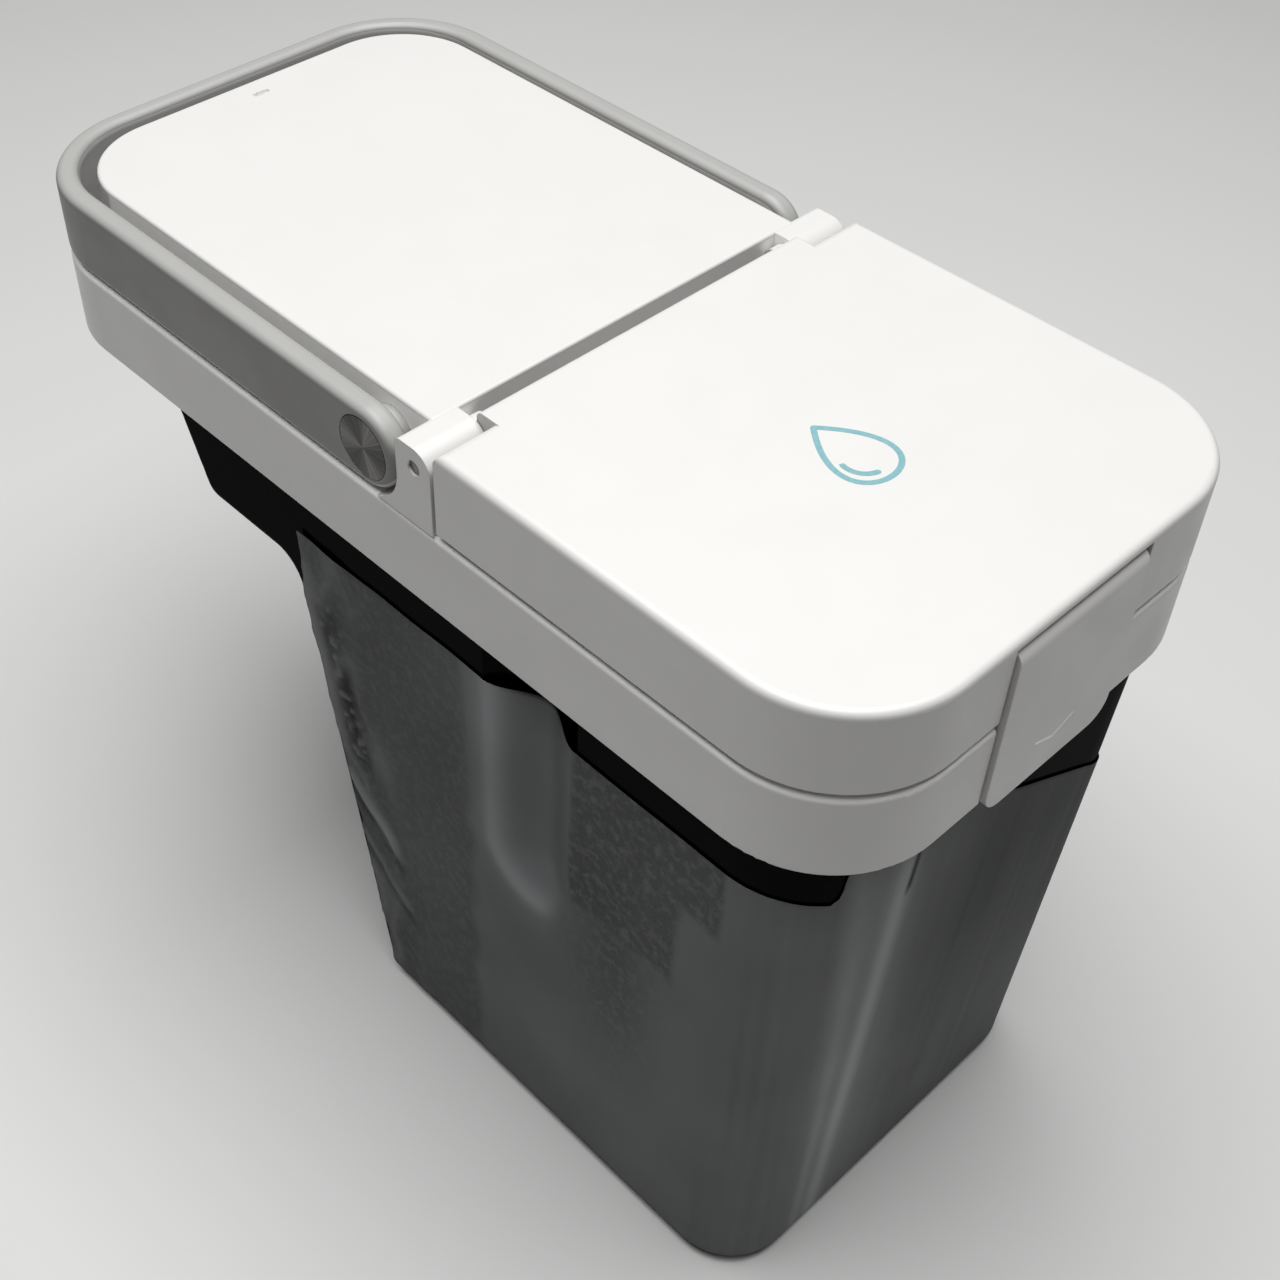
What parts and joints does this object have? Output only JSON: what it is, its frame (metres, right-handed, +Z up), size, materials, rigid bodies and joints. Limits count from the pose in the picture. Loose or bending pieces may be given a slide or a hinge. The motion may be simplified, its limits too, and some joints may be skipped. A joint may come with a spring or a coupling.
{
  "type": "robot vacuum clean water tank",
  "caption": "Deep stepped water tank with a smoke body, white collar, flip lid with front latch, rear cover and a folding bail handle.",
  "frame": {"origin": "middle of the bounding box, on the floor that the tank stands on", "axes": "+Z up, -Y towards the latch at the front, +Y towards the handle bar at the rear, X across"},
  "size_m": [0.14, 0.298, 0.236],
  "materials": {
    "white_shell": "satin moulded white",
    "smoke_tank": "glossy smoke black under a clear film",
    "handle_grey": "fine matt light grey",
    "brushed_disc": "radially brushed dark steel",
    "steel_pin": "turned steel",
    "inner_white": "matt white",
    "water_pipe": "natural grey moulding",
    "seal_rubber": "soft matt"
  },
  "bodies": {
    "tank": {"tank_body": "smoke_tank", "rim_seal": "seal_rubber", "rim_collar": "white_shell", "rear_cover": "white_shell", "cover_screws": "steel_pin", "suction_tube": "water_pipe", "tube_strainer": "water_pipe", "outlet_elbow": "water_pipe", "outlet_spigot": "water_pipe", "outlet_seal": "seal_rubber", "lid_hinge_pin_left": "steel_pin", "lid_hinge_pin_right": "steel_pin", "handle_pivot_left": "inner_white", "handle_pivot_right": "inner_white", "pivot_washer_left": "inner_white", "pivot_washer_right": "inner_white"},
    "lid": {"lid_shell": "white_shell", "lid_inner_panel": "inner_white", "lid_seal": "seal_rubber", "latch_pin": "steel_pin"},
    "latch": {"latch_plate": "white_shell"},
    "handle": {"handle_bail": "handle_grey", "handle_cap_left": "brushed_disc", "handle_cap_right": "brushed_disc"}
  },
  "joints": [
    {"name": "lid_hinge", "type": "hinge", "parent": "tank", "child": "lid", "pos_m": [0, -0.02, 0.228], "axis": [-1, 0, 0], "range_deg": [0, 52]},
    {"name": "latch_hinge", "type": "hinge", "parent": "lid", "child": "latch", "pos_m": [0, -0.145, 0.2288], "axis": [-1, 0, 0], "range_deg": [0, 25]},
    {"name": "handle_hinge", "type": "hinge", "parent": "tank", "child": "handle", "pos_m": [0, -0.0014, 0.2228], "axis": [1, 0, 0], "range_deg": [0, 90]}
  ]
}
